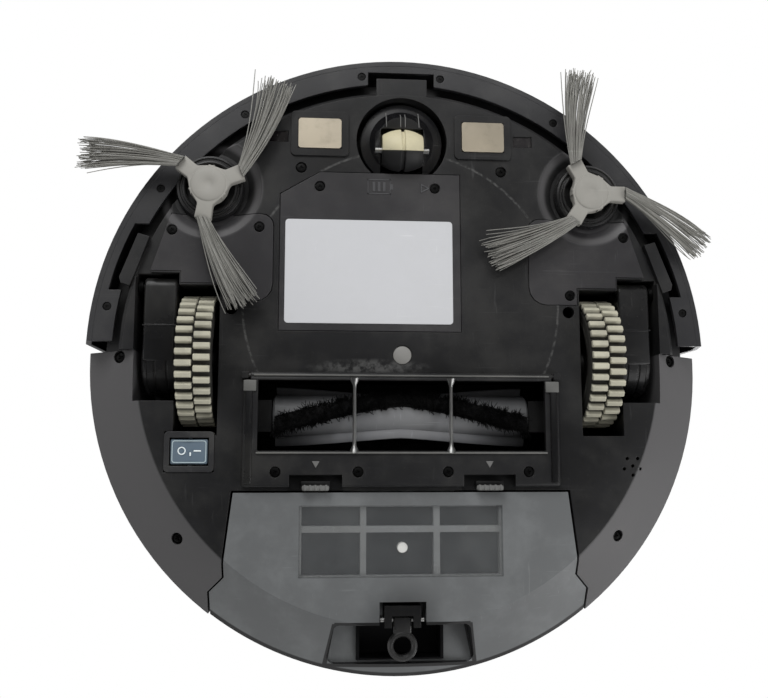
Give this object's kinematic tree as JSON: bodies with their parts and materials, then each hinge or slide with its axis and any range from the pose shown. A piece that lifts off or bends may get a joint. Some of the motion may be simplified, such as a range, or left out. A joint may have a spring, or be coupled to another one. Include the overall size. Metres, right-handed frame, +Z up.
{
  "type": "robot vacuum",
  "caption": "Round floor-cleaning robot with spring bumper, sprung drive wheels, swivel caster, roller brush under a latched guard, side brushes and a slide-out dust tank.",
  "frame": {"origin": "on the floor under the middle of the round body, at the foot of the bounding box", "axes": "+Z up; the bumper faces -Y and the dust tank slides out along +Y; +X runs across the wheels"},
  "size_m": [0.3245, 0.324, 0.0806],
  "materials": {
    "shell_black": "fine moulded texture, scuffed",
    "top_black": "polished",
    "label_white": "smooth film",
    "cell_blue": "shrink film",
    "board_green": "laminate",
    "contact_metal": "plated, satin",
    "drive_black": "moulded",
    "lens_dark": "infrared window",
    "screw_steel": "blackened steel",
    "guard_black": "satin moulded",
    "pin_steel": "bright drawn steel",
    "bumper_black": "satin moulded",
    "motor_metal": "plated can",
    "tyre_rubber": "dusty rubber",
    "hub_black": "moulded",
    "gear_white": "natural acetal",
    "dome_black": "polished",
    "caster_cream": "moulded, two tone",
    "roller_grey": "moulded",
    "roller_black": "nylon bristle rows",
    "blade_rubber": "soft rubber blade",
    "wire_steel": "drawn steel",
    "brush_grey": "moulded",
    "bristle_grey": "nylon filament",
    "tank_smoke": "smoked clear plastic",
    "filter_black": "moulded",
    "switch_blue": "soft cover"
  },
  "bodies": {
    "chassis": {"base_shell": "shell_black", "top_shell": "top_black", "top_plate": "top_black", "battery_cover": "shell_black", "rating_plate": "label_white", "battery_pack": "cell_blue", "main_board": "board_green", "left_wheel_panel": "shell_black", "right_wheel_panel": "shell_black", "charging_contacts": "contact_metal", "fan_unit": "drive_black", "cliff_sensors": "lens_dark", "speaker": "drive_black", "underside_screws": "screw_steel", "switch_bezel": "guard_black", "bump_switches": "drive_black", "pivot_pins": "pin_steel", "suspension_springs": "pin_steel", "side_brush_gearboxes": "drive_black", "roller_bearings": "guard_black"},
    "bumper": {"bumper_shell": "bumper_black", "bumper_flange": "bumper_black", "bumper_screws": "screw_steel"},
    "left_arm": {"left_drive_housing": "drive_black", "left_drive_motor": "motor_metal"},
    "right_arm": {"right_drive_housing": "drive_black", "right_drive_motor": "motor_metal"},
    "left_wheel": {"left_tyre": "tyre_rubber", "left_wheel_hub": "hub_black", "left_wheel_axle": "pin_steel", "left_drive_gear": "gear_white"},
    "right_wheel": {"right_tyre": "tyre_rubber", "right_wheel_hub": "hub_black", "right_wheel_axle": "pin_steel", "right_drive_gear": "gear_white"},
    "caster_turntable": {"caster_dome": "dome_black", "caster_axle": "pin_steel"},
    "caster_roller": {"caster_wheel": "caster_cream"},
    "main_brush": {"roller_core": "roller_grey", "roller_bristles": "roller_black", "roller_blades": "blade_rubber"},
    "brush_guard": {"guard_frame": "guard_black", "guard_screws": "screw_steel", "guard_wires": "wire_steel"},
    "left_latch": {"left_guard_latch": "guard_black"},
    "right_latch": {"right_guard_latch": "guard_black"},
    "left_side_brush": {"left_side_brush_hub": "brush_grey", "left_side_bristles": "bristle_grey"},
    "right_side_brush": {"right_side_brush_hub": "brush_grey", "right_side_bristles": "bristle_grey"},
    "dust_tank": {"tank_shell": "tank_smoke", "tank_lid": "tank_smoke", "filter_frame": "filter_black", "filter_stud": "pin_steel", "latch_bracket": "filter_black", "latch_pin": "pin_steel"},
    "tank_lever": {"latch_lever": "filter_black"},
    "rocker": {"switch_rocker": "switch_blue"},
    "power_key": {"power_button": "top_black"},
    "home_key": {"home_button": "top_black"}
  },
  "joints": [
    {"name": "bumper_press", "type": "slide", "parent": "chassis", "child": "bumper", "axis": [0, 1, 0], "range_m": [0, 0.004], "stiffness_N_per_m": 400, "springref_m": -0.002},
    {"name": "left_suspension", "type": "hinge", "parent": "chassis", "child": "left_arm", "pos_m": [-0.1221, -0.036, 0.0205], "axis": [1, 0, 0], "range_deg": [-40, 3], "stiffness_Nm_per_rad": 0.15, "springref_deg": -68.75},
    {"name": "left_wheel_spin", "type": "hinge", "parent": "left_arm", "child": "left_wheel", "pos_m": [-0.1035, 0, 0.034], "axis": [1, 0, 0], "continuous": true},
    {"name": "right_suspension", "type": "hinge", "parent": "chassis", "child": "right_arm", "pos_m": [0.1221, -0.036, 0.0205], "axis": [1, 0, 0], "range_deg": [-40, 3], "stiffness_Nm_per_rad": 0.15, "springref_deg": -68.75},
    {"name": "right_wheel_spin", "type": "hinge", "parent": "right_arm", "child": "right_wheel", "pos_m": [0.1035, 0, 0.034], "axis": [1, 0, 0], "continuous": true},
    {"name": "caster_swivel", "type": "hinge", "parent": "chassis", "child": "caster_turntable", "pos_m": [0, -0.1144, 0.03], "axis": [0, 0, 1], "continuous": true},
    {"name": "caster_roll", "type": "hinge", "parent": "caster_turntable", "child": "caster_roller", "pos_m": [0, -0.1086, 0.0108], "axis": [1, 0, 0], "continuous": true},
    {"name": "main_brush_spin", "type": "hinge", "parent": "chassis", "child": "main_brush", "pos_m": [0, 0.029, 0.0266], "axis": [1, 0, 0], "continuous": true},
    {"name": "left_side_brush_spin", "type": "hinge", "parent": "chassis", "child": "left_side_brush", "pos_m": [-0.0986, -0.0872, 0.008], "axis": [0, 0, 1], "continuous": true},
    {"name": "right_side_brush_spin", "type": "hinge", "parent": "chassis", "child": "right_side_brush", "pos_m": [0.0986, -0.0872, 0.008], "axis": [0, 0, 1], "continuous": true},
    {"name": "guard_open", "type": "hinge", "parent": "chassis", "child": "brush_guard", "pos_m": [0, 0.0092, 0.0103], "axis": [1, 0, 0], "range_deg": [-95, 0]},
    {"name": "left_latch_press", "type": "slide", "parent": "brush_guard", "child": "left_latch", "axis": [0, -1, 0], "range_m": [0, 0.0015], "stiffness_N_per_m": 300, "springref_m": -0.001},
    {"name": "right_latch_press", "type": "slide", "parent": "brush_guard", "child": "right_latch", "axis": [0, -1, 0], "range_m": [0, 0.0015], "stiffness_N_per_m": 300, "springref_m": -0.001},
    {"name": "tank_slide", "type": "slide", "parent": "chassis", "child": "dust_tank", "axis": [0, 1, 0], "range_m": [0, 0.11]},
    {"name": "tank_latch_press", "type": "hinge", "parent": "dust_tank", "child": "tank_lever", "pos_m": [0, 0.129, 0.0173], "axis": [1, 0, 0], "range_deg": [0, 20], "stiffness_Nm_per_rad": 0.02, "springref_deg": -11.46},
    {"name": "power_rocker", "type": "hinge", "parent": "chassis", "child": "rocker", "pos_m": [-0.1052, 0.047, 0.0155], "axis": [0, 1, 0], "range_deg": [-5, 5]},
    {"name": "power_button_press", "type": "slide", "parent": "chassis", "child": "power_key", "axis": [0, 0, -1], "range_m": [0, 0.001], "stiffness_N_per_m": 300, "springref_m": -0.001},
    {"name": "home_button_press", "type": "slide", "parent": "chassis", "child": "home_key", "axis": [0, 0, -1], "range_m": [0, 0.001], "stiffness_N_per_m": 300, "springref_m": -0.001}
  ]
}
